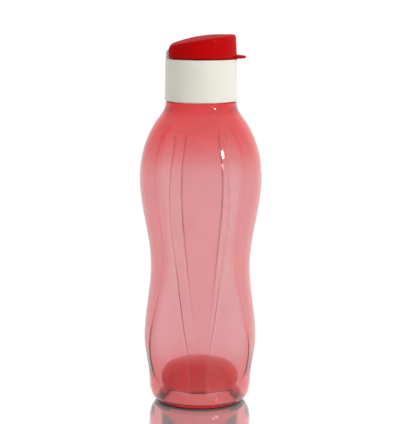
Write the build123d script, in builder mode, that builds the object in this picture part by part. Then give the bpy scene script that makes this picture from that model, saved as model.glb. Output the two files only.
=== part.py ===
from build123d import *
import os
from math import acos, cos, degrees, radians, sin, sqrt

# A 750 ml drinking bottle with a screw cap and a hinged flip lid, in millimetres.
# The origin is the centre of the foot ring, +Z is up, the hinge is on -X, the thumb tab on +X
# and the front panel faces -Y.

# Bottle outline: radius and height of each turning point
foot_radius = 26.3
foot_ring_width = 2.3
heel_radius, heel_height = 33.5, 13.0
belly_radius, belly_height = 37.0, 43.0
waist_radius, waist_height = 32.8, 91.0
chest_radius, chest_height = 40.1, 149.0
shoulder_rise = 54.4  # height of the quarter ellipse that the shoulder follows
collar_flare = 5.0  # how much wider than the collar the shoulder is where it hands over
collar_run = 9.9  # height over which the shoulder turns upright
collar_length = 1.3
wall = 2.0
base_wall = 3.4
trough_radius = 2.6  # inside, between the wall and the pushed-up base
trough_floor = 3.0  # height of the trough's lowest point

# Underside of the pushed-up base: radii, and drops below its middle
dome_height = 23.2
dome_crown_radius, dome_crown_drop = 10.0, 0.8
dome_shoulder_radius, dome_shoulder_drop = 19.0, 4.4
dome_side_radius, dome_side_drop = 22.8, 11.2

# Recessed petals round the body
petal_angle = 37.0  # from the front or the back panel's centre line
petal_depth = 0.8
petal_bottom_height = 9.0
petal_end_gap = 5.5  # from a petal's top to the end of the shoulder
petal_half_widths = (15.4, 12.0, 4.1, 7.9)  # at the belly, below and above the waist, at the chest

# Neck, its two-start thread, and the screw cap that runs on it
neck_radius = 19.9
neck_wall = 2.0
neck_length = 24.2
thread_lead = 8.0
thread_starts = 2
thread_turns = 0.75
thread_above_collar = 6.3
thread_space = 1.7  # between the neck and the inside of the cap
thread_clearance = 0.4  # between a ridge of the cap and the neck
ridge_height = 1.0
ridge_foot = 1.4  # width of a thread ridge where it stands on its wall
ridge_tip = 0.8
ridge_root = 0.4  # how far a ridge reaches into the wall that carries it
cap_wall = 2.1
cap_draft = 0.4
cap_step = 0.5  # the cap stands this far out from the collar
cap_gap = 0.5  # between the collar and the cap
deck_thickness = 1.8
edge_radius = 0.7  # on the cap's and the spout's edges
gasket_thickness = 1.4
gasket_fit = 0.3
gasket_lip = 1.0  # how far the gasket reaches inside the rim
seat_gap = 0.1  # over and under the gasket

# Spout and stopper
spout_x = 8.0
spout_bore_radius = 8.0
spout_wall = 2.0
spout_height = 8.3
stopper_clearance = 0.35
stopper_gap = 0.4
stopper_taper = 0.8
stopper_length = 4.4
stopper_flange = 1.8
stopper_inset = 0.6  # the flange is this much smaller than the spout
peg_radius = 4.0
peg_length = 3.2
stopper_lip_radius, stopper_nose_radius = 0.5, 0.8

# Hinge
knuckle_radius = 3.25
knuckle_width = 10.0
knuckle_inset = 0.5
knuckle_rise = 3.4  # of the pin above the deck
pin_radius = 1.25
pin_grip = 3.5  # how far the pin reaches into each arm of the lid
pin_chamfer = 0.3
pin_clearance = 0.05
arm_clearance = 0.3

# Flip lid
lid_gap = 0.3
lid_inset = 0.15
lid_height = 15.5
lid_fall = 6.9  # of the top towards the hinge
lid_draft = 3.0
lid_crown_radius = 110.0  # across the lid's top, at its highest place
lid_wall = 1.8
lid_flat_back = 2.1  # how much the hinge side is cut off flat
crown_x = 12.0  # where the flat of the lid's top ends
lid_corner = 4.5  # in side view, at the back of the top
lid_edge = 2.0  # round the top
lid_heel = 2.0
lid_bulge = 0.25  # share of the fall that is reached half way back
tab_length = 5.75
tab_width = 17.0
tab_root, tab_tip = 2.5, 1.4  # thickness at the lid and at the end
tab_lift = 0.3
tab_edge = 0.5
tab_corner = 6.0  # in plan

# Sizes and heights that follow from the ones above
cap_ridge_height = thread_space - thread_clearance
cap_inner_radius = neck_radius + thread_space
cap_radius_bottom = cap_inner_radius + cap_wall
cap_radius_top = cap_radius_bottom - cap_draft
collar_radius = cap_radius_bottom - cap_step
neck_bore_radius = neck_radius - neck_wall
shoulder_angle = degrees(acos((collar_radius + collar_flare) / chest_radius))
hand_over_height = chest_height + shoulder_rise * sin(radians(shoulder_angle))
collar_top = hand_over_height + collar_run + collar_length
rim_height = collar_top + neck_length
thread_base_height = collar_top + thread_above_collar
cap_bottom = collar_top + cap_gap
deck_bottom = rim_height + gasket_thickness + 2 * seat_gap
cap_top = deck_bottom + deck_thickness
gasket_inner_radius = neck_bore_radius - gasket_lip
spout_radius = spout_bore_radius + spout_wall
spout_top = cap_top + spout_height
hinge_x = knuckle_radius + knuckle_inset - cap_radius_top
hinge_z = cap_top + knuckle_rise
pin_length = knuckle_width + 2 * pin_grip
lid_radius = cap_radius_top - lid_inset
lid_back_x = lid_flat_back - lid_radius
lid_bottom = cap_top + lid_gap
lid_top = lid_bottom + lid_height
lid_back_top = lid_top - lid_fall
tab_reach = lid_radius + tab_length
slot_front = hinge_x + knuckle_radius + arm_clearance
block_front_x = slot_front + lid_wall  # solid behind this, round the pin's sockets
flange_bottom = spout_top + stopper_gap
flange_top = flange_bottom + stopper_flange
flange_radius = spout_radius - stopper_inset
plug_radius = spout_bore_radius - stopper_clearance
petal_heights = (
    belly_height,
    (belly_height + waist_height) / 2,
    (waist_height + chest_height) / 2,
    (chest_height + hand_over_height) / 2,
)
petal_top_height = hand_over_height - petal_end_gap
big = 120.0  # longer than anything that is cut


def ellipse_arc(centre, x_radius, z_radius, start, stop):
    """A stretch of an upright ellipse, as a curve through five of its points."""
    points = []
    for i in range(5):
        angle = radians(start + (stop - start) * i / 4)
        points.append((centre[0] + x_radius * cos(angle), centre[1] + z_radius * sin(angle)))
    ends = [
        (-x_radius * sin(radians(angle)), z_radius * cos(radians(angle)))
        for angle in (start, stop)
    ]
    Spline(points, tangents=ends)
    return points[-1], ends[-1]


def body_side(inset):
    """The side of the body from heel to collar, moved in by inset. Call it in a BuildLine."""
    up = (0, 1)
    turns = [
        (heel_radius - inset, heel_height),
        (belly_radius - inset, belly_height),
        (waist_radius - inset, waist_height),
        (chest_radius - inset, chest_height),
    ]
    Spline(turns, tangents=[up] * len(turns))
    width, rise = chest_radius - inset, shoulder_rise - inset
    point, direction = ellipse_arc((0, chest_height), width, rise, 0, shoulder_angle)
    collar = (collar_radius - inset, point[1] + collar_run)
    Spline([point, collar], tangents=[direction, up])
    return collar


# Solid inside the floors of the recessed petals
with BuildPart() as petal_core:
    with BuildSketch(Plane.XZ):
        with BuildLine():
            collar_point = body_side(petal_depth)
            Polyline(
                collar_point,
                (0, collar_point[1]),
                (0, heel_height - big),
                (heel_radius - petal_depth, heel_height - big),
                (heel_radius - petal_depth, heel_height),
            )
        make_face()
    revolve(axis=Axis.Z)

# Cutter for one petal, facing -Y before it is turned to its place
with BuildPart() as petal_cutter:
    with BuildSketch(Plane.XZ.offset(foot_radius / 2)):
        with BuildLine():
            right = list(zip(petal_half_widths, petal_heights))[::-1]
            left = [(-x, z) for x, z in reversed(right)]
            Spline(right, tangents=[(0, -1), (0, -1)])
            ThreePointArc(right[-1], (0, petal_bottom_height), left[0])
            Spline(left, tangents=[(0, 1), (0, 1)])
            ThreePointArc(left[-1], (0, petal_top_height), right[0])
        make_face()
    extrude(amount=big)
    add(petal_core.part, mode=Mode.SUBTRACT)

# One thread ridge of the neck, and one of the cap that runs below it
with BuildPart() as neck_ridge:
    with BuildLine() as neck_helix:
        Helix(thread_lead, thread_lead * thread_turns, neck_radius)
    with BuildSketch(Plane.XZ):
        Polygon(
            (neck_radius - ridge_root, -ridge_foot / 2),
            (neck_radius + ridge_height, -ridge_tip / 2),
            (neck_radius + ridge_height, ridge_tip / 2),
            (neck_radius - ridge_root, ridge_foot / 2),
            align=None,
        )
    sweep(path=neck_helix.line, is_frenet=True)

with BuildPart() as cap_ridge:
    with BuildLine() as cap_helix:
        Helix(thread_lead, thread_lead * thread_turns, cap_inner_radius)
    with BuildSketch(Plane.XZ):
        Polygon(
            (cap_inner_radius + ridge_root, -ridge_foot / 2),
            (cap_inner_radius - cap_ridge_height, -ridge_tip / 2),
            (cap_inner_radius - cap_ridge_height, ridge_tip / 2),
            (cap_inner_radius + ridge_root, ridge_foot / 2),
            align=None,
        )
    sweep(path=cap_helix.line, is_frenet=True)

starts = [360 / thread_starts * i for i in range(thread_starts)]
cap_thread_drop = thread_lead / thread_starts / 2  # the cap's ridges lie midway between the neck's

# Bottle: foot, heel, body, collar and threaded neck in one blown wall
with BuildPart() as bottle_body:
    with BuildSketch(Plane.XZ):
        with BuildLine():
            heel_width = heel_radius - foot_radius
            ellipse_arc((foot_radius, heel_height), heel_width, heel_height, 270, 360)
            collar_point = body_side(0)
            Polyline(
                collar_point,
                (collar_radius, collar_top),
                (neck_radius, collar_top),
                (neck_radius, rim_height),
                (neck_bore_radius, rim_height),
                (neck_bore_radius, collar_top),
            )
            # inside of the shoulder and the walls
            inner_chest = chest_radius - wall
            inner_rise = shoulder_rise - wall
            inner_angle = degrees(acos((neck_bore_radius + 2 * collar_flare) / inner_chest))
            point, direction = ellipse_arc(
                (0, chest_height), inner_chest, inner_rise, 0, inner_angle
            )
            Spline([point, (neck_bore_radius, collar_top)], tangents=[direction, (0, 1)])
            trough_x = heel_radius - wall - trough_radius
            down = (0, -1)
            inner_turns = [
                (inner_chest, chest_height),
                (waist_radius - wall, waist_height),
                (belly_radius - wall, belly_height),
                (trough_x + trough_radius, heel_height),
            ]
            Spline(inner_turns, tangents=[down] * len(inner_turns))
            trough_depth = heel_height - trough_floor
            ellipse_arc((trough_x, heel_height), trough_radius, trough_depth, 180, 360)
            inner_dome = dome_height + base_wall
            out = base_wall * cos(radians(45))  # where the wall slants, in each direction
            Spline(
                [
                    (trough_x - trough_radius, heel_height),
                    (dome_shoulder_radius + out, dome_height - dome_shoulder_drop + out),
                    (dome_crown_radius, inner_dome - dome_crown_drop),
                    (0, inner_dome),
                ],
                tangents=[(0, 1), (-1, 0)],
            )
            Line((0, dome_height + base_wall), (0, dome_height))
            Spline(
                [
                    (0, dome_height),
                    (dome_crown_radius, dome_height - dome_crown_drop),
                    (dome_shoulder_radius, dome_height - dome_shoulder_drop),
                    (dome_side_radius, dome_height - dome_side_drop),
                    (foot_radius - foot_ring_width, 0),
                ],
                tangents=[(1, 0), (0, -1)],
            )
            Line((foot_radius - foot_ring_width, 0), (foot_radius, 0))
        make_face()
    revolve(axis=Axis.Z)
    for face_angle in (0, 180):
        for side in (-1, 1):
            turned = petal_cutter.part.rotate(Axis.Z, face_angle + side * petal_angle)
            add(turned, mode=Mode.SUBTRACT)
    for start in starts:
        ridge = neck_ridge.part.moved(Location((0, 0, thread_base_height), (0, 0, start)))
        add(ridge)

# Gasket between the rim of the neck and the deck of the cap
with BuildPart() as neck_gasket:
    with BuildSketch(Plane.XY.offset(rim_height + seat_gap)):
        Circle(cap_inner_radius - gasket_fit)
        Circle(gasket_inner_radius, mode=Mode.SUBTRACT)
    extrude(amount=gasket_thickness)

# Screw cap: skirt with its thread, deck, spout and hinge knuckle
with BuildPart() as screw_cap:
    with BuildSketch(Plane.XZ) as skirt_section:
        with BuildLine():
            Polyline(
                (0, cap_top),
                (cap_radius_top, cap_top),
                (cap_radius_bottom, cap_bottom),
                (cap_inner_radius, cap_bottom),
                (cap_inner_radius, deck_bottom),
                (0, deck_bottom),
                close=True,
            )
        make_face()
        rounded = [v for v in skirt_section.vertices() if v.X > cap_radius_top - 0.1]
        fillet(rounded, edge_radius)
    revolve(axis=Axis.Z)
    with BuildSketch(Plane.XY.offset(deck_bottom)):
        with Locations((spout_x, 0)):
            Circle(spout_radius)
    extrude(amount=spout_top - deck_bottom)
    spout_rims = screw_cap.edges().filter_by(GeomType.CIRCLE).group_by(Axis.Z)[-1]
    fillet(spout_rims, edge_radius)
    with BuildSketch(Plane.XY.offset(deck_bottom)):
        with Locations((spout_x, 0)):
            Circle(spout_bore_radius)
    extrude(amount=big, mode=Mode.SUBTRACT)
    # knuckle: a post on the deck that ends in a barrel round the pin
    with BuildSketch(Plane.XZ.offset(-knuckle_width / 2)):
        with Locations((hinge_x, hinge_z)):
            Circle(knuckle_radius)
        with Locations((hinge_x, (deck_bottom + hinge_z) / 2)):
            Rectangle(2 * knuckle_radius, hinge_z - deck_bottom)
    extrude(amount=knuckle_width)
    with BuildSketch(Plane.XZ.offset(-knuckle_width)):
        with Locations((hinge_x, hinge_z)):
            Circle(pin_radius)
    extrude(amount=2 * knuckle_width, mode=Mode.SUBTRACT)
    for start in starts:
        place = Location((0, 0, thread_base_height - cap_thread_drop), (0, 0, start))
        add(cap_ridge.part.moved(place))

# Pin through the knuckle and into blind sockets of the lid
with BuildPart() as hinge_pin:
    with BuildSketch(Plane.XZ.offset(-pin_length / 2)):
        with Locations((hinge_x, hinge_z)):
            Circle(pin_radius)
    extrude(amount=pin_length)
    chamfer(hinge_pin.edges().filter_by(GeomType.CIRCLE), pin_chamfer)

# Flip lid: a shallow shell, its top falling towards the hinge
crown_axis = Axis((0, 0, lid_top - lid_crown_radius), (1, 0, 0))

with BuildPart() as lid_hollow:
    with BuildSketch(Plane.XZ):
        with BuildLine():
            Line((lid_back_x, lid_bottom), (lid_radius, lid_bottom))
            Line((lid_radius, lid_bottom), (lid_radius, lid_top))
            Line((lid_radius, lid_top), (crown_x, lid_top))
            middle_x = (crown_x + lid_back_x) / 2
            middle_z = lid_top - lid_fall * lid_bulge
            ThreePointArc(
                (crown_x, lid_top), (middle_x, middle_z), (lid_back_x, lid_back_top)
            )
            Line((lid_back_x, lid_back_top), (lid_back_x, lid_bottom))
        make_face()
        offset(amount=-lid_wall, mode=Mode.REPLACE, kind=Kind.INTERSECTION)
        with Locations(((lid_radius + block_front_x) / 2, lid_bottom)):
            Rectangle(lid_radius - block_front_x, 3 * lid_wall)
        with Locations((block_front_x - big / 2, lid_bottom)):
            Rectangle(big, big, mode=Mode.SUBTRACT)
    revolve(axis=crown_axis)
    with BuildSketch(Plane.XY.offset(lid_bottom - lid_wall)):
        Circle(lid_radius - lid_wall)
    extrude(amount=lid_top - lid_bottom + lid_wall, taper=lid_draft, mode=Mode.INTERSECT)
    with BuildSketch(Plane.XY.offset(flange_top)):
        with Locations((spout_x, 0)):
            Circle(flange_radius - lid_wall)
    extrude(amount=big, mode=Mode.SUBTRACT)

# Thumb tab: a wedge that thins towards its rounded end
with BuildPart() as thumb_tab:
    tab_start = sqrt((lid_radius - lid_wall) ** 2 - (tab_width / 2) ** 2)
    with BuildSketch(Plane.XZ.offset(-tab_width / 2)):
        with BuildLine():
            Polyline(
                (0, lid_bottom),
                (tab_start, lid_bottom),
                (tab_reach, lid_bottom + tab_lift),
                (tab_reach, lid_bottom + tab_lift + tab_tip),
                (tab_start, lid_bottom + tab_root),
                (0, lid_bottom + tab_root),
                close=True,
            )
        make_face()
    extrude(amount=tab_width)
    with BuildSketch(Plane.XY.offset(lid_bottom)):
        with Locations((tab_reach - lid_radius, 0)):
            RectangleRounded(2 * lid_radius, tab_width, tab_corner)
        Circle(lid_radius - lid_wall, mode=Mode.SUBTRACT)
    extrude(amount=tab_root, mode=Mode.INTERSECT)
    tip_edges = thumb_tab.edges().filter_by(lambda e: e.bounding_box().max.X > lid_radius)
    fillet(tip_edges.filter_by(lambda e: abs(e.tangent_at(0.5).Z) < 0.5), tab_edge)

with BuildPart() as flip_lid:
    with BuildSketch(Plane.XZ) as lid_outline:
        with BuildLine():
            Polyline(
                (lid_back_x, lid_back_top),
                (lid_back_x, lid_bottom - lid_height),
                (big / 2, lid_bottom - lid_height),
                (big / 2, lid_top),
                (crown_x, lid_top),
            )
            ThreePointArc(
                (crown_x, lid_top), (middle_x, middle_z), (lid_back_x, lid_back_top)
            )
        make_face()
        back = lid_outline.vertices().filter_by(lambda v: abs(v.X - lid_back_x) < 0.1)
        fillet(back.sort_by(Axis.Y)[-1], lid_corner)
    revolve(axis=crown_axis)
    with BuildSketch(Plane.XY.offset(lid_bottom)):
        Circle(lid_radius)
    extrude(amount=lid_top - lid_bottom, taper=lid_draft, mode=Mode.INTERSECT)
    foot_edges = flip_lid.edges().group_by(Axis.Z)[0]
    fillet(foot_edges.filter_by(GeomType.LINE), lid_heel)
    above_heel = lid_bottom + 2 * lid_heel
    top_rim = [
        edge
        for edge in flip_lid.edges()
        if edge.geom_type != GeomType.LINE and edge.bounding_box().min.Z > above_heel
    ]
    fillet(top_rim, lid_edge)
    add(lid_hollow.part, mode=Mode.SUBTRACT)
    add(thumb_tab.part)
    # peg that carries the stopper
    with BuildSketch(Plane.XY.offset(flange_top)):
        with Locations((spout_x, 0)):
            Circle(peg_radius)
    extrude(amount=-peg_length)
    # slot for the knuckle and blind sockets for the pin
    slot_width = knuckle_width + 2 * arm_clearance
    with BuildSketch(Plane.XY.offset(lid_bottom)):
        with Locations((slot_front - big / 2, 0)):
            Rectangle(big, slot_width)
    extrude(amount=big, mode=Mode.SUBTRACT)
    socket_length = pin_length + 2 * arm_clearance
    with BuildSketch(Plane.XZ.offset(-socket_length / 2)):
        with Locations((hinge_x, hinge_z)):
            Circle(pin_radius + pin_clearance)
    extrude(amount=socket_length, mode=Mode.SUBTRACT)

# Stopper: a soft cone under a flange, pushed onto the lid's peg
with BuildPart() as spout_stopper:
    with BuildSketch(Plane.XZ) as stopper_section:
        with BuildLine():
            Polyline(
                (peg_radius, flange_top),
                (flange_radius, flange_top),
                (flange_radius, flange_bottom),
                (plug_radius, flange_bottom),
                (plug_radius - stopper_taper, flange_bottom - stopper_length),
                (0, flange_bottom - stopper_length),
                (0, flange_top - peg_length),
                (peg_radius, flange_top - peg_length),
                close=True,
            )
        make_face()
        lip = stopper_section.vertices().filter_by(lambda v: v.X > flange_radius - 0.1)
        fillet(lip, stopper_lip_radius)
        nose_x = plug_radius - stopper_taper
        nose = stopper_section.vertices().filter_by(lambda v: abs(v.X - nose_x) < 0.1)
        fillet(nose, stopper_nose_radius)
    revolve(axis=Axis.Z)
spout_stopper.part = spout_stopper.part.moved(Location((spout_x, 0, 0)))

os.makedirs("parts", exist_ok=True)
bottle_body.part.label = "bottle_body"
export_step(bottle_body.part, "parts/bottle_body.step")
neck_gasket.part.label = "neck_gasket"
export_step(neck_gasket.part, "parts/neck_gasket.step")
screw_cap.part.label = "screw_cap"
export_step(screw_cap.part, "parts/screw_cap.step")
hinge_pin.part.label = "hinge_pin"
export_step(hinge_pin.part, "parts/hinge_pin.step")
flip_lid.part.label = "flip_lid"
export_step(flip_lid.part, "parts/flip_lid.step")
spout_stopper.part.label = "spout_stopper"
export_step(spout_stopper.part, "parts/spout_stopper.step")
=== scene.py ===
import math

import bpy
from bpy.props import FloatProperty, FloatVectorProperty, IntProperty, PointerProperty
from bpy.types import Operator, Panel, PropertyGroup
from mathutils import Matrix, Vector


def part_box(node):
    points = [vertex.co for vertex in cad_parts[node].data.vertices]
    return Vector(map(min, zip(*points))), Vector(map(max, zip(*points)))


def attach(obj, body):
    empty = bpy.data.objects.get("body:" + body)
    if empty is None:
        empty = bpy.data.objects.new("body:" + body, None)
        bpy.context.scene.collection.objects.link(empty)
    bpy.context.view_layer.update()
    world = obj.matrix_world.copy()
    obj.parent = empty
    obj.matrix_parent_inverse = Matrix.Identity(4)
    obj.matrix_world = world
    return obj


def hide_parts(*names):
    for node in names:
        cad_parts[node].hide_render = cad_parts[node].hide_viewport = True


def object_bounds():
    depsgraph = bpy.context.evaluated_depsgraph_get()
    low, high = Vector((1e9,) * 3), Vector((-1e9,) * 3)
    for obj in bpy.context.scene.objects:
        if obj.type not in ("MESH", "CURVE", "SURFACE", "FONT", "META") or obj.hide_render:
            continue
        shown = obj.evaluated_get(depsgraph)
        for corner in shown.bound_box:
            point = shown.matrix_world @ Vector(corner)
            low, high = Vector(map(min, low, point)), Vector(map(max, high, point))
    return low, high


bl_info = {
    "name": "Drinking Bottle",
    "version": (1, 0, 0),
    "blender": (4, 5, 0),
    "location": "3D View > Sidebar > Bottle",
    "description": "Builds the blown bottle and finishes its cap, lid, seal, stopper and pin",
    "category": "Add Mesh",
}

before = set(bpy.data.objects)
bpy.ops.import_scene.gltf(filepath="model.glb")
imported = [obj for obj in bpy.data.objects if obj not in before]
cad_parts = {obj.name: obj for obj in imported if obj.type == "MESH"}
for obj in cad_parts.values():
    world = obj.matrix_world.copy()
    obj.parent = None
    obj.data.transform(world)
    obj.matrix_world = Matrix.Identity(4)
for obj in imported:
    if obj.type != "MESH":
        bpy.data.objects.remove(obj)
CAD_LOW, CAD_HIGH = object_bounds()
BODY_LOW, BODY_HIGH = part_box("bottle_body")
CHEST_RADIUS = min(BODY_HIGH.x, BODY_HIGH.y, -BODY_LOW.x, -BODY_LOW.y)
RIM_HEIGHT = BODY_HIGH.z
MM = 0.001

# Mesh rows along each stretch of the wall, and sides of the round floor
DOME_ROWS = 16
HEEL_ROWS = 12
SIDE_ROWS = 120
SHOULDER_ROWS = 52
COLLAR_ROWS = 8
NECK_ROWS = 8
INSIDE_ROWS = 116
TROUGH_ROWS = 14
FLOOR_SIDES = 96

# Rounded edges of the collar and the rim
LIP = 0.35 * MM
LIP_BULGE = 0.3
RIM_BULGE = 0.5

# Pushed-up base: how square its arch is, underneath and inside, and the trough round it
UNDER_BEND = 0.67
INSIDE_BEND = 0.8
FOOT_LAND = 0.2
TROUGH_RADIUS = 2.6 * MM
TROUGH_FLOOR = 3.0 * MM

# Petals: sweep of the outer edge, softness of each edge and the deeper step at the back
SWEEP_POWER = 4.3
SWEEP_LEAN = 0.75
BACK_LEAN = 0.9
OUTER_SOFT = 5.0
OUTER_SOFT_RISE = 1.5
END_SOFT = 1.6
INSIDE_SOFT = 1.8
BACK_STEP = 1.5

# Thread on the neck
THREAD_STARTS = 2
THREAD_HEIGHT = 205.2 * MM
THREAD_LEAD = 8.0 * MM
THREAD_TURNS = 0.75
THREAD_FOOT = 1.4 * MM
THREAD_TIP = 0.8 * MM
THREAD_RISE = 1.0 * MM
THREAD_SINK = 0.35 * MM
THREAD_EDGE = 0.18 * MM
THREAD_ROWS_PER_TURN = 96
THREAD_FADE = 12
THREAD_LEAST = 0.05

# Ring in which the floor changes from under the foot to the open floor
FOOT_INSIDE = 22.0 * MM
FOOT_OUTSIDE = 26.0 * MM
FLOOR_DROP = 0.05 * MM

# Place and size of the small light, in heights of the bottle
KEY_PLACE = (2.6, -2.6, 1.6)
KEY_SIZE = (0.25, 0.5)


# Sizes and colours that a user would change


def length(name, description, default):
    """A length property in metres, given in millimetres."""
    return FloatProperty(
        name=name,
        description=description,
        default=default * MM,
        min=0.0,
        unit="LENGTH",
        precision=4,
    )


def angle(name, description, default):
    """An angle property, given in degrees."""
    return FloatProperty(
        name=name, description=description, default=math.radians(default), subtype="ANGLE"
    )


def colour(name, description, default):
    """A colour property in linear light."""
    return FloatVectorProperty(
        name=name, description=description, default=default, subtype="COLOR", min=0.0, max=1.0
    )


class BottleOutline(PropertyGroup):
    """Radius and height of each turning point of the blown bottle."""

    foot_radius: length("Foot radius", "Outside of the foot ring", 26.3)
    foot_ring: length("Foot ring", "Width of the flat ring it stands on", 2.3)
    heel_radius: length("Heel radius", "Radius at the top of the heel", 33.5)
    heel_height: length("Heel height", "Height of the rounded heel", 13.0)
    belly_radius: length("Belly radius", "Widest radius of the lower body", 37.0)
    belly_height: length("Belly height", "Height of the lower body's widest place", 43.0)
    waist_radius: length("Waist radius", "Narrowest radius of the body", 32.8)
    waist_height: length("Waist height", "Height of the waist", 91.0)
    chest_height: length("Chest height", "Height of the upper body's widest place", 149.0)
    shoulder_rise: length("Shoulder rise", "Height of the ellipse that the shoulder follows", 54.4)
    shoulder_turn: angle(
        "Shoulder turn", "Where on its ellipse the shoulder meets the collar", 45.31
    )
    collar_radius: length("Collar radius", "Radius just under the cap", 23.2)
    collar_run: length("Collar run", "Height over which the shoulder turns upright", 9.9)
    collar_top: length("Collar top", "Height of the step under the cap", 198.85)
    neck_radius: length("Neck radius", "Outside of the neck below its thread", 19.9)
    bore_radius: length("Bore radius", "Inside of the neck", 17.9)
    dome_height: length("Dome height", "Rise of the pushed-up base", 23.2)


class BottleWall(PropertyGroup):
    """Thickness of the blown wall, and the petals pressed into it."""

    wall: length("Wall", "Thickness of the body's wall", 1.6)
    root_wall: length("Root wall", "Thickness where the body meets the neck", 5.3)
    heel_wall: length("Heel wall", "Thickness just above the foot", 2.2)
    base_wall: length("Base wall", "Thickness of the pushed-up base", 5.0)
    thick_above: length("Thick above", "Height above which the wall thickens", 148.0)
    petal_depth: length("Petal depth", "Step at the edge of a petal", 0.9)
    petal_edge: length("Petal edge", "Width over which the step settles", 0.9)
    petal_flat: FloatProperty(
        name="Petal flatness",
        description="How far a petal's floor is flattened, from 0, round, to 1, flat",
        default=0.45,
        min=0.0,
        max=1.0,
        subtype="FACTOR",
    )
    petal_top: length("Petal top", "Top of the petal's arch", 184.5)
    petal_arch: length("Petal arch", "Height of the arch", 8.0)
    petal_bottom: length("Petal bottom", "Lowest point of a front petal", 7.5)
    petal_sweep: length("Petal sweep", "Height where the outer edge starts to sweep in", 36.0)
    back_bottom: length("Back bottom", "Middle of the sloping lower edge of a back petal", 22.0)
    back_slope: FloatProperty(
        name="Back slope",
        description="How steeply a back petal's lower edge falls away from its panel",
        default=0.45,
    )
    petal_reach: angle("Petal reach", "Inner and outer edge angles add up to this", 74.0)
    narrow_angle: angle("Narrow angle", "Inner edge near the foot, from the panel's middle", 8.0)
    wide_angle: angle("Wide angle", "Inner edge where the petal is pinched", 30.0)
    high_angle: angle("High angle", "Inner edge near the shoulder", 27.0)
    pinch_height: length("Pinch height", "Height where a petal is narrowest", 118.0)
    back_share: FloatProperty(
        name="Back panel",
        description="Width of the back panel as a share of the front panel's",
        default=0.74,
        min=0.3,
        max=1.0,
        subtype="FACTOR",
    )
    panel_turn: angle("Panel turn", "How far the panels are turned from the hinge line", -1.7)
    petal_columns: IntProperty(
        name="Petal columns", description="Mesh columns across a petal", default=30, min=8
    )


class BottleFinish(PropertyGroup):
    """Colours of the mouldings and of the light that the tinted wall takes out."""

    tint: colour("Tint", "Colour that the wall's plastic passes", (0.975, 0.27, 0.29))
    tint_density: FloatProperty(
        name="Tint density", description="Strength of the tint, per metre of wall", default=400.0
    )
    cap_white: colour("Cap white", "Colour of the screw cap", (0.76, 0.74, 0.65))
    lid_red: colour("Lid red", "Colour of the flip lid", (0.47, 0.0002, 0.0008))
    stopper_red: colour("Stopper red", "Colour of the soft stopper", (0.42, 0.01, 0.012))
    gasket_white: colour("Gasket white", "Colour of the soft gasket", (0.78, 0.78, 0.75))
    pin_steel: colour("Pin steel", "Colour of the hinge pin", (0.62, 0.62, 0.6))


class BottleStage(PropertyGroup):
    """The floor, the light and the camera."""

    floor_radius: length("Floor radius", "Radius of the pale floor", 14000.0)
    floor_white: colour("Floor", "Colour of the floor", (0.9, 0.9, 0.9))
    floor_gloss: FloatProperty(
        name="Floor gloss",
        description="Share of the floor's light that is mirrored",
        default=0.8,
        min=0.0,
        max=1.0,
        subtype="FACTOR",
    )
    floor_glow: FloatProperty(
        name="Floor glow", description="Light that the pale floor gives off", default=0.1
    )
    foot_glow: FloatProperty(
        name="Foot glow",
        description="Light that the floor gives off inside the foot ring",
        default=0.75,
    )
    sky: FloatProperty(name="Sky", description="Strength of the even light", default=0.92)
    sky_right: FloatProperty(
        name="Sky to the right",
        description="How much stronger the light is from the right",
        default=0.2,
    )
    sky_behind: FloatProperty(
        name="Sky behind", description="How much stronger the light is from behind", default=0.18
    )
    key: FloatProperty(name="Key", description="Power of the small light in watts", default=2.5)
    camera_distance: length("Camera distance", "From the bottle's axis", 1000.0)
    camera_height: length("Camera height", "Above the floor", 278.8)
    camera_shift: FloatProperty(
        name="Camera shift",
        description="Sideways place of the camera",
        default=-1.1 * MM,
        unit="LENGTH",
    )
    camera_pitch: angle("Camera pitch", "How far the camera looks down", 8.686)
    camera_roll: angle("Camera roll", "How far the camera leans", -0.27)
    camera_lens: FloatProperty(
        name="Lens", description="Focal length in millimetres on a 36 mm frame", default=130.65
    )


# Shape of the blown bottle


def smooth(share):
    """An even ease from 0 to 1."""
    share = min(1.0, max(0.0, share))
    return share * share * (3 - 2 * share)


def hermite(start, start_slope, end, end_slope, share):
    """A cubic between two values with the given slopes at its ends."""
    s2, s3 = share * share, share ** 3
    return (
        (2 * s3 - 3 * s2 + 1) * start
        + (s3 - 2 * s2 + share) * start_slope
        + (3 * s2 - 2 * s3) * end
        + (s3 - s2) * end_slope
    )


def side_radius(line, z):
    """Outside radius of the round body at a height, before petals are pressed in."""
    if z < line.heel_height:
        drop = 1 - z / line.heel_height
        heel = line.heel_radius - line.foot_radius
        return line.foot_radius + heel * math.sqrt(max(0.0, 1 - drop * drop))
    turns = [
        (line.heel_height, line.heel_radius),
        (line.belly_height, line.belly_radius),
        (line.waist_height, line.waist_radius),
        (line.chest_height, CHEST_RADIUS),
    ]
    for (z0, r0), (z1, r1) in zip(turns, turns[1:]):
        if z <= z1:
            return r0 + (r1 - r0) * smooth((z - z0) / (z1 - z0))
    hand_over = line.chest_height + line.shoulder_rise * math.sin(line.shoulder_turn)
    if z <= hand_over:
        rise = (z - line.chest_height) / line.shoulder_rise
        return CHEST_RADIUS * math.sqrt(1 - rise * rise)
    if z < hand_over + line.collar_run:
        edge = CHEST_RADIUS * math.cos(line.shoulder_turn)
        slope = -CHEST_RADIUS * math.tan(line.shoulder_turn) / line.shoulder_rise
        share = (z - hand_over) / line.collar_run
        return hermite(edge, slope * line.collar_run, line.collar_radius, 0.0, share)
    return line.collar_radius


def wall_at(line, skin, z):
    """Thickness of the wall at a height, measured level."""
    up = smooth((z - skin.thick_above) / (line.collar_top - skin.thick_above))
    down = smooth(1 - (z - line.heel_height) / (2 * line.heel_height))
    return skin.wall + (skin.root_wall - skin.wall) * up + (skin.heel_wall - skin.wall) * down


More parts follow.
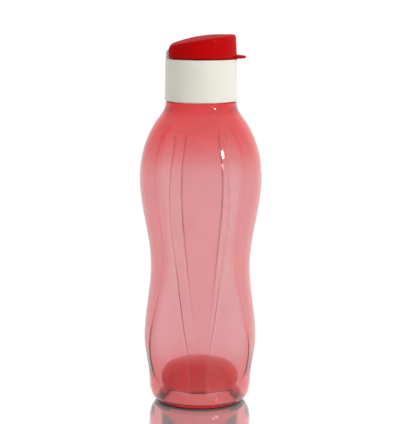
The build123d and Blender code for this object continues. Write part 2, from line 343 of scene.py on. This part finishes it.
def crease_angle(skin, z):
    """Angle of a front petal's inner edge from the middle of its panel."""
    if z < skin.pinch_height:
        share = smooth((z - 2 * skin.petal_bottom) / (skin.pinch_height - 2 * skin.petal_bottom))
        return skin.narrow_angle + (skin.wide_angle - skin.narrow_angle) * share
    high = skin.petal_top - skin.petal_arch * 2
    share = smooth((z - skin.pinch_height) / (high - skin.pinch_height))
    return skin.wide_angle + (skin.high_angle - skin.wide_angle) * share


def sectors(skin, z):
    """Stretches round the body at a height: (start, stop, columns, side of the petal or 0)."""
    inner = crease_angle(skin, z)
    outer = skin.petal_reach - inner
    back = math.pi - skin.back_share * inner
    flank = math.pi - outer
    many = skin.petal_columns
    half = [
        (outer, flank, many + many // 2, 0),
        (flank, back, many, -1),
    ]
    front = [(-inner, inner, many, 0), (inner, outer, many, 1)]
    far = [(back, 2 * math.pi - back, many, 0)]
    mirrored = [
        (2 * math.pi - stop, 2 * math.pi - start, count, -side)
        for start, stop, count, side in reversed(half)
    ]
    last = [(2 * math.pi - outer, 2 * math.pi - inner, many, -1)]
    return front + half + far + mirrored + last


def press(line, skin, z, across, half_width, edge, front):
    """How deep a petal is pressed in, across from its middle towards the bottle's flank."""
    near, far, end = half_width + across, half_width - across, half_width
    arch_foot = skin.petal_top - skin.petal_arch
    if z > arch_foot:
        out = math.hypot(across / half_width, (z - arch_foot) / skin.petal_arch)
        end = (1 - out) * half_width
    if z < skin.petal_sweep:
        share = (skin.petal_sweep - z) / (skin.petal_sweep - skin.petal_bottom)
        limit = half_width - 2 * half_width * min(1.0, share) ** SWEEP_POWER
        far = min(far, (limit - across) * SWEEP_LEAN)
    if not front:
        end = min(end, (z - skin.back_bottom + skin.back_slope * across) * BACK_LEAN)
    if min(near, far, end) <= 0:
        return 0.0
    above_sweep = smooth((z - skin.petal_sweep) / (2 * skin.petal_sweep))
    soft = edge * (OUTER_SOFT + OUTER_SOFT_RISE * above_sweep)
    step = skin.petal_depth * (1.0 if front else BACK_STEP)
    for distance, width in ((near, edge), (far, soft), (end, END_SOFT * edge)):
        step *= 1 - math.exp(-distance / width)
    sagitta = half_width * half_width / (2 * side_radius(line, z))
    inside = (1 - (1 - min(1.0, near / half_width)) ** 2) * smooth(far / half_width)
    return step + skin.petal_flat * sagitta * inside * smooth(end / half_width)


def ring(line, skin, radius, z, edge):
    """One ring of points. With an edge width the petals are pressed in, else it is round."""
    points = []
    for start, stop, count, side in sectors(skin, z):
        for i in range(count):
            share = (1 - math.cos(math.pi * i / count)) / 2
            turn = start + (stop - start) * share
            r = radius
            if edge and side:
                half_width = (stop - start) / 2 * radius
                across = (turn - (start + stop) / 2) * radius * side
                front = math.cos(turn) > 0
                r -= press(line, skin, z, across, half_width, edge, front)
            turn += skin.panel_turn
            points.append((r * math.sin(turn), -r * math.cos(turn), z))
    return points


def bottle_rings(line, skin):
    """Every ring of the closed wall, from under the base, up the outside and down the inside."""
    rows = []
    inner_foot = line.foot_radius - line.foot_ring
    for i in range(1, DOME_ROWS + 1):
        t = math.pi / 2 * i / DOME_ROWS
        height = line.dome_height * math.cos(t) ** UNDER_BEND
        rows.append((inner_foot * math.sin(t) ** UNDER_BEND, height, 0))
    rows.append((line.foot_radius - FOOT_LAND * line.foot_ring, 0.0, 0))
    for i in range(1, HEEL_ROWS):
        t = math.pi / 2 * i / HEEL_ROWS
        z = line.heel_height * (1 - math.cos(t))
        rows.append((side_radius(line, z), z, skin.petal_edge))
    for i in range(SIDE_ROWS):
        z = line.heel_height + (line.chest_height - line.heel_height) * i / SIDE_ROWS
        rows.append((side_radius(line, z), z, skin.petal_edge))
    for i in range(SHOULDER_ROWS + 1):
        t = line.shoulder_turn * i / SHOULDER_ROWS
        z = line.chest_height + line.shoulder_rise * math.sin(t)
        rows.append((side_radius(line, z), z, skin.petal_edge))
    shoulder_top = z
    for i in range(1, COLLAR_ROWS + 1):
        height = shoulder_top + line.collar_run * i / COLLAR_ROWS
        rows.append((side_radius(line, height), height, 0))
    top = line.collar_top
    neck_top = RIM_HEIGHT - 2 * LIP
    rows += [
        (line.collar_radius, top - LIP, 0),
        (line.collar_radius - LIP_BULGE * LIP, top - LIP_BULGE * LIP, 0),
        (line.collar_radius - LIP, top, 0),
        (line.neck_radius + LIP, top, 0),
        (line.neck_radius, top + LIP, 0),
    ]
    for i in range(1, NECK_ROWS + 1):
        rows.append((line.neck_radius, top + (neck_top - top) * i / NECK_ROWS, 0))
    rows += [
        (line.neck_radius - LIP_BULGE * LIP, RIM_HEIGHT - RIM_BULGE * LIP, 0),
        (line.neck_radius - LIP, RIM_HEIGHT, 0),
        (line.bore_radius + LIP, RIM_HEIGHT, 0),
        (line.bore_radius + LIP_BULGE * LIP, RIM_HEIGHT - RIM_BULGE * LIP, 0),
    ]
    for i in range(NECK_ROWS):
        height = neck_top - (neck_top - top) * i / NECK_ROWS
        rows.append((line.bore_radius, height, 0))
    floor_height = line.heel_height
    for i in range(INSIDE_ROWS):
        z = top + (floor_height - top) * i / INSIDE_ROWS
        radius = side_radius(line, z) - wall_at(line, skin, z)
        rows.append((radius, z, INSIDE_SOFT * skin.petal_edge))
    trough_depth = floor_height - TROUGH_FLOOR
    side = side_radius(line, floor_height) - wall_at(line, skin, floor_height)
    for i in range(TROUGH_ROWS + 1):
        t = math.pi * i / TROUGH_ROWS
        height = floor_height - trough_depth * math.sin(t)
        rows.append((side - TROUGH_RADIUS * (1 - math.cos(t)), height, 0))
    inside_foot = side - 2 * TROUGH_RADIUS
    dome_top = line.dome_height + skin.base_wall
    for i in range(DOME_ROWS - 1, 0, -1):
        t = math.pi / 2 * i / DOME_ROWS
        height = floor_height + (dome_top - floor_height) * math.cos(t) ** INSIDE_BEND
        rows.append((inside_foot * math.sin(t) ** INSIDE_BEND, height, 0))
    return rows


def mesh_object(name, points, faces):
    """A smooth-shaded object from points in metres."""
    mesh = bpy.data.meshes.new(name)
    mesh.from_pydata(points, [], faces)
    mesh.validate()
    mesh.shade_smooth()
    obj = bpy.data.objects.new(name, mesh)
    bpy.context.scene.collection.objects.link(obj)
    return obj


def lathe(name, rings, low_tip, high_tip):
    """A closed skin over rings of equal count, with a point at each end."""
    count = len(rings[0])
    points = [p for one in rings for p in one] + [low_tip, high_tip]
    faces = []
    for row in range(len(rings) - 1):
        for i in range(count):
            j = (i + 1) % count
            a, b = row * count, (row + 1) * count
            faces.append((a + i, a + j, b + j, b + i))
    first, last = len(points) - 2, len(points) - 1
    end = (len(rings) - 1) * count
    for i in range(count):
        j = (i + 1) % count
        faces.append((first, j, i))
        faces.append((last, end + i, end + j))
    return mesh_object(name, points, faces)


def thread_ridge(name, radius, start):
    """A ridge of the neck's thread, tapering away at both ends."""
    section = [
        (-THREAD_SINK, -THREAD_FOOT / 2),
        (THREAD_RISE, -THREAD_TIP / 2),
        (THREAD_RISE, THREAD_TIP / 2),
        (-THREAD_SINK, THREAD_FOOT / 2),
    ]
    corners = len(section)
    steps = int(THREAD_ROWS_PER_TURN * THREAD_TURNS)
    points, faces = [], []
    for i in range(steps + 1):
        share = i / steps
        turn = start + 2 * math.pi * THREAD_TURNS * share
        fade = smooth(min(1.0, THREAD_FADE * share, THREAD_FADE * (1 - share)))
        for out, up in section:
            if out > 0:
                out *= THREAD_LEAST + (1 - THREAD_LEAST) * fade
            r = radius + out
            z = THREAD_HEIGHT + THREAD_LEAD * THREAD_TURNS * share + up
            points.append((r * math.cos(turn), r * math.sin(turn), z))
    for i in range(steps):
        a, b = corners * i, corners * (i + 1)
        for k in range(corners):
            m = (k + 1) % corners
            faces.append((a + k, b + k, b + m, a + m))
    faces.append(tuple(range(corners)))
    faces.append(tuple(corners * steps + k for k in reversed(range(corners))))
    ridge = mesh_object(name, points, faces)
    soften = ridge.modifiers.new("Edge", "BEVEL")
    soften.width = THREAD_EDGE
    soften.segments = 2
    soften.limit_method = "ANGLE"
    return ridge


# Materials


def start_material(name):
    """A material with its Principled shader and an object-space coordinate to hang detail on."""
    material = bpy.data.materials.new(name)
    material.use_nodes = True
    nodes = material.node_tree.nodes
    shader = nodes["Principled BSDF"]
    place = nodes.new("ShaderNodeTexCoord")
    return material, shader, place.outputs["Object"]


def noise(material, place, scale, detail=3.0, stretch=(1, 1, 1)):
    """A noise pattern, in features per metre, stretched along the axes."""
    tree = material.node_tree
    mapping = tree.nodes.new("ShaderNodeMapping")
    mapping.inputs["Scale"].default_value = stretch
    texture = tree.nodes.new("ShaderNodeTexNoise")
    texture.inputs["Scale"].default_value = scale
    texture.inputs["Detail"].default_value = detail
    tree.links.new(place, mapping.inputs["Vector"])
    tree.links.new(mapping.outputs["Vector"], texture.inputs["Vector"])
    return texture.outputs["Fac"]


def between(material, fac, low, high, at=(0.3, 0.7)):
    """A colour or grey that runs from low to high as the pattern rises."""
    tree = material.node_tree
    ramp = tree.nodes.new("ShaderNodeValToRGB")
    for element, position, value in zip(ramp.color_ramp.elements, at, (low, high)):
        element.position = position
        value = (value,) * 3 if isinstance(value, float) else value
        element.color = (*value, 1.0)
    tree.links.new(fac, ramp.inputs["Fac"])
    return ramp.outputs["Color"]


def relief(material, shader, layers):
    """Bump from several patterns, each (pattern, strength, depth in metres)."""
    tree = material.node_tree
    normal = None
    for pattern, strength, depth in layers:
        bump = tree.nodes.new("ShaderNodeBump")
        bump.inputs["Strength"].default_value = strength
        bump.inputs["Distance"].default_value = depth
        tree.links.new(pattern, bump.inputs["Height"])
        if normal is not None:
            tree.links.new(normal, bump.inputs["Normal"])
        normal = bump.outputs["Normal"]
    tree.links.new(normal, shader.inputs["Normal"])


def shaded(value, share):
    """A colour made darker by a share."""
    return tuple(v * (1 - share) for v in value)


def tinted_plastic(finish):
    """Clear blown plastic that takes its red from the depth of the wall."""
    material, shader, place = start_material("tinted_plastic")
    tree = material.node_tree
    shader.inputs["Transmission Weight"].default_value = 1.0
    shader.inputs["IOR"].default_value = 1.5
    flow = noise(material, place, scale=28.0, detail=2.0, stretch=(1, 1, 0.25))
    cloud = noise(material, place, scale=55.0, detail=4.0)
    clear = between(material, cloud, (0.84, 0.83, 0.835), (0.87, 0.865, 0.87))
    tree.links.new(clear, shader.inputs["Base Color"])
    tree.links.new(between(material, cloud, 0.05, 0.1), shader.inputs["Roughness"])
    relief(material, shader, [(flow, 0.25, 0.2 * MM), (cloud, 0.1, 0.05 * MM)])
    absorb = tree.nodes.new("ShaderNodeVolumeAbsorption")
    absorb.inputs["Color"].default_value = (*finish.tint, 1.0)
    absorb.inputs["Density"].default_value = finish.tint_density
    tree.links.new(absorb.outputs["Volume"], tree.nodes["Material Output"].inputs["Volume"])
    return material


def moulded_plastic(name, base, smoothest, roughest, specular, coat):
    """Opaque moulded plastic with faint flow, fine grain and handling marks."""
    material, shader, place = start_material(name)
    tree = material.node_tree
    cloud = noise(material, place, scale=45.0, detail=5.0)
    grain = noise(material, place, scale=2600.0, detail=2.0)
    marks = noise(material, place, scale=160.0, detail=6.0, stretch=(1.0, 1.0, 5.0))
    tree.links.new(between(material, cloud, shaded(base, 0.07), base), shader.inputs["Base Color"])
    tree.links.new(between(material, marks, smoothest, roughest), shader.inputs["Roughness"])
    relief(material, shader, [(cloud, 0.12, 0.12 * MM), (grain, 0.08, 0.02 * MM)])
    shader.inputs["IOR"].default_value = 1.5
    shader.inputs["Specular IOR Level"].default_value = specular
    shader.inputs["Coat Weight"].default_value = coat
    shader.inputs["Coat Roughness"].default_value = 0.08
    return material


def silicone(name, base):
    """Soft matt rubber with a dusty bloom."""
    material, shader, place = start_material(name)
    tree = material.node_tree
    cloud = noise(material, place, scale=220.0, detail=4.0)
    grain = noise(material, place, scale=3200.0, detail=2.0)
    tree.links.new(between(material, cloud, shaded(base, 0.12), base), shader.inputs["Base Color"])
    tree.links.new(between(material, cloud, 0.5, 0.65), shader.inputs["Roughness"])
    relief(material, shader, [(grain, 0.15, 0.03 * MM)])
    shader.inputs["IOR"].default_value = 1.42
    shader.inputs["Sheen Weight"].default_value = 0.15
    return material


def drawn_steel(base):
    """Wire with fine draw lines along it."""
    material, shader, place = start_material("pin_steel")
    tree = material.node_tree
    lines = noise(material, place, scale=1800.0, detail=3.0, stretch=(1.0, 0.03, 1.0))
    tree.links.new(between(material, lines, shaded(base, 0.2), base), shader.inputs["Base Color"])
    tree.links.new(between(material, lines, 0.22, 0.38), shader.inputs["Roughness"])
    relief(material, shader, [(lines, 0.2, 0.02 * MM)])
    shader.inputs["Metallic"].default_value = 1.0
    return material


def dress(node, material):
    """Gives a CAD node its finish and keeps its shape."""
    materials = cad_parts[node].data.materials
    materials.clear()
    materials.append(material)


# Floor, sky and light


def across_foot(tree, distance, inside, outside):
    """A value that changes from one to the other across the bottle's foot."""
    step = tree.nodes.new("ShaderNodeMapRange")
    step.inputs["From Min"].default_value = FOOT_INSIDE
    step.inputs["From Max"].default_value = FOOT_OUTSIDE
    step.inputs["To Min"].default_value = inside
    step.inputs["To Max"].default_value = outside
    tree.links.new(distance, step.inputs["Value"])
    return step.outputs["Result"]


def studio_floor(stage):
    """Pale glossy tabletop with a trace of tone and a little light of its own."""
    material, shader, place = start_material("studio_floor")
    tree = material.node_tree
    white = tuple(stage.floor_white)
    cloud = noise(material, place, scale=1.5, detail=3.0)
    tone = between(material, cloud, shaded(white, 0.01), white)
    tree.links.new(tone, shader.inputs["Base Color"])
    tree.links.new(tone, shader.inputs["Emission Color"])
    away = tree.nodes.new("ShaderNodeVectorMath")
    away.operation = "LENGTH"
    tree.links.new(place, away.inputs[0])
    distance = away.outputs["Value"]
    # Painted light: the floor glows far brighter inside the foot ring, and mirrors nothing there,
    # to lift the shade under the bottle's base.
    glow = across_foot(tree, distance, stage.foot_glow, stage.floor_glow)
    tree.links.new(glow, shader.inputs["Emission Strength"])
    shader.inputs["Roughness"].default_value = 0.9
    shader.inputs["Specular IOR Level"].default_value = 0.0
    mirror = tree.nodes.new("ShaderNodeBsdfGlossy")
    mirror.inputs["Color"].default_value = (1.0, 1.0, 1.0, 1.0)
    tree.links.new(between(material, cloud, 0.05, 0.08), mirror.inputs["Roughness"])
    mix = tree.nodes.new("ShaderNodeMixShader")
    tree.links.new(across_foot(tree, distance, 0.0, stage.floor_gloss), mix.inputs["Fac"])
    tree.links.new(shader.outputs["BSDF"], mix.inputs[1])
    tree.links.new(mirror.outputs["BSDF"], mix.inputs[2])
    tree.links.new(mix.outputs["Shader"], tree.nodes["Material Output"].inputs["Surface"])
    return material


def studio_sky(stage):
    """An even white light from all round, stronger from the right and from behind."""
    world = bpy.data.worlds.new("studio")
    world.use_nodes = True
    tree = world.node_tree
    place = tree.nodes.new("ShaderNodeTexCoord")
    lean = tree.nodes.new("ShaderNodeVectorMath")
    lean.operation = "DOT_PRODUCT"
    lean.inputs[1].default_value = (stage.sky_right, stage.sky_behind, 0.0)
    strength = tree.nodes.new("ShaderNodeMath")
    strength.operation = "ADD"
    strength.inputs[1].default_value = stage.sky
    sky = tree.nodes["Background"]
    sky.inputs["Color"].default_value = (1.0, 1.0, 1.0, 1.0)
    tree.links.new(place.outputs["Generated"], lean.inputs[0])
    tree.links.new(lean.outputs["Value"], strength.inputs[0])
    tree.links.new(strength.outputs["Value"], sky.inputs["Strength"])
    return world


def area_light(name, power, size, place, aim):
    """A small rectangular white light that looks at a point."""
    lamp = bpy.data.lights.new(name, "AREA")
    lamp.shape = "RECTANGLE"
    lamp.size, lamp.size_y = size
    lamp.energy = power
    obj = bpy.data.objects.new(name, lamp)
    obj.location = place
    obj.rotation_euler = (obj.location - aim).to_track_quat("Z", "Y").to_euler()
    bpy.context.scene.collection.objects.link(obj)


# Operators, one for each piece or group of like pieces


class BOTTLE_OT_blown_body(Operator):
    """Builds the blown bottle as one closed wall, inside and out, and its neck thread."""

    bl_idname = "bottle.blown_body"
    bl_label = "Blown Body"

    def execute(self, context):
        line, skin = context.scene.bottle_outline, context.scene.bottle_wall
        material = tinted_plastic(context.scene.bottle_finish)
        rings = [ring(line, skin, r, z, edge) for r, z, edge in bottle_rings(line, skin)]
        inside_top = line.dome_height + skin.base_wall
        body = lathe("blown_bottle", rings, (0, 0, line.dome_height), (0, 0, inside_top))
        body.data.materials.append(material)
        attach(body, "bottle")
        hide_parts("bottle_body")
        for i in range(THREAD_STARTS):
            start = 2 * math.pi * i / THREAD_STARTS
            ridge = thread_ridge(f"neck_thread_{i + 1}", line.neck_radius, start)
            ridge.data.materials.append(material)
            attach(ridge, "bottle")
        return {"FINISHED"}


class BOTTLE_OT_screw_cap(Operator):
    """Finishes the white screw cap."""

    bl_idname = "bottle.screw_cap"
    bl_label = "Screw Cap"

    def execute(self, context):
        white = context.scene.bottle_finish.cap_white
        satin = dict(smoothest=0.32, roughest=0.44, specular=0.3, coat=0.0)
        dress("screw_cap", moulded_plastic("white_plastic", white, **satin))
        return {"FINISHED"}


class BOTTLE_OT_flip_lid(Operator):
    """Finishes the glossy red lid."""

    bl_idname = "bottle.flip_lid"
    bl_label = "Flip Lid"

    def execute(self, context):
        red = context.scene.bottle_finish.lid_red
        glossy = dict(smoothest=0.3, roughest=0.42, specular=0.0, coat=0.12)
        dress("flip_lid", moulded_plastic("red_plastic", red, **glossy))
        return {"FINISHED"}


class BOTTLE_OT_soft_seals(Operator):
    """Finishes the gasket under the cap and the stopper under the lid."""

    bl_idname = "bottle.soft_seals"
    bl_label = "Gasket and Stopper"

    def execute(self, context):
        finish = context.scene.bottle_finish
        dress("neck_gasket", silicone("silicone", finish.gasket_white))
        dress("spout_stopper", silicone("red_silicone", finish.stopper_red))
        return {"FINISHED"}


class BOTTLE_OT_hinge_pin(Operator):
    """Finishes the steel pin of the lid's hinge."""

    bl_idname = "bottle.hinge_pin"
    bl_label = "Hinge Pin"

    def execute(self, context):
        dress("hinge_pin", drawn_steel(context.scene.bottle_finish.pin_steel))
        return {"FINISHED"}


class BOTTLE_OT_stage(Operator):
    """Sets up the floor, the soft light and the camera."""

    bl_idname = "bottle.stage"
    bl_label = "Stage"

    def execute(self, context):
        scene = context.scene
        stage = scene.bottle_stage
        radius = stage.floor_radius
        points = [(0.0, 0.0, 0.0)]
        for i in range(FLOOR_SIDES):
            turn = 2 * math.pi * i / FLOOR_SIDES
            points.append((radius * math.cos(turn), radius * math.sin(turn), 0.0))
        faces = [(0, 1 + i, 1 + (i + 1) % FLOOR_SIDES) for i in range(FLOOR_SIDES)]
        floor = mesh_object("floor", points, faces)
        floor.location.z = -FLOOR_DROP
        floor.data.materials.append(studio_floor(stage))

        scene.world = studio_sky(stage)

        middle = (CAD_LOW + CAD_HIGH) / 2
        reach = CAD_HIGH.z - CAD_LOW.z
        place = middle + Vector([share * reach for share in KEY_PLACE])
        size = [share * reach for share in KEY_SIZE]
        area_light("key", stage.key, size, place, middle)

        camera = bpy.data.cameras.new("camera")
        camera.sensor_width = 36.0
        camera.sensor_fit = "AUTO"
        camera.lens = stage.camera_lens
        camera.clip_end = 100.0
        view = bpy.data.objects.new("camera", camera)
        view.location = (stage.camera_shift, -stage.camera_distance, stage.camera_height)
        view.rotation_euler = (math.pi / 2 - stage.camera_pitch, stage.camera_roll, 0.0)
        scene.collection.objects.link(view)
        scene.camera = view
        scene.view_settings.view_transform = "Standard"
        return {"FINISHED"}


class BOTTLE_PT_panel(Panel):
    """Lists the bottle's sizes and the steps that build it."""

    bl_idname = "BOTTLE_PT_panel"
    bl_label = "Drinking Bottle"
    bl_space_type = "VIEW_3D"
    bl_region_type = "UI"
    bl_category = "Bottle"

    def draw(self, context):
        for name, kind in GROUPS.items():
            box = self.layout.box()
            for prop in kind.__annotations__:
                box.prop(getattr(context.scene, name), prop)
        for operator in OPERATORS:
            self.layout.operator(operator.bl_idname)


GROUPS = {
    "bottle_outline": BottleOutline,
    "bottle_wall": BottleWall,
    "bottle_finish": BottleFinish,
    "bottle_stage": BottleStage,
}
OPERATORS = (
    BOTTLE_OT_blown_body,
    BOTTLE_OT_screw_cap,
    BOTTLE_OT_flip_lid,
    BOTTLE_OT_soft_seals,
    BOTTLE_OT_hinge_pin,
    BOTTLE_OT_stage,
)


def register():
    for name, group in GROUPS.items():
        bpy.utils.register_class(group)
        setattr(bpy.types.Scene, name, PointerProperty(type=group))
    for operator in OPERATORS:
        bpy.utils.register_class(operator)
    bpy.utils.register_class(BOTTLE_PT_panel)


def unregister():
    bpy.utils.unregister_class(BOTTLE_PT_panel)
    for operator in reversed(OPERATORS):
        bpy.utils.unregister_class(operator)
    for name, group in reversed(GROUPS.items()):
        delattr(bpy.types.Scene, name)
        bpy.utils.unregister_class(group)


def main():
    """Builds the whole bottle."""
    register()
    bpy.ops.bottle.blown_body()
    bpy.ops.bottle.screw_cap()
    bpy.ops.bottle.flip_lid()
    bpy.ops.bottle.soft_seals()
    bpy.ops.bottle.hinge_pin()
    bpy.ops.bottle.stage()


if __name__ == "__main__":
    main()
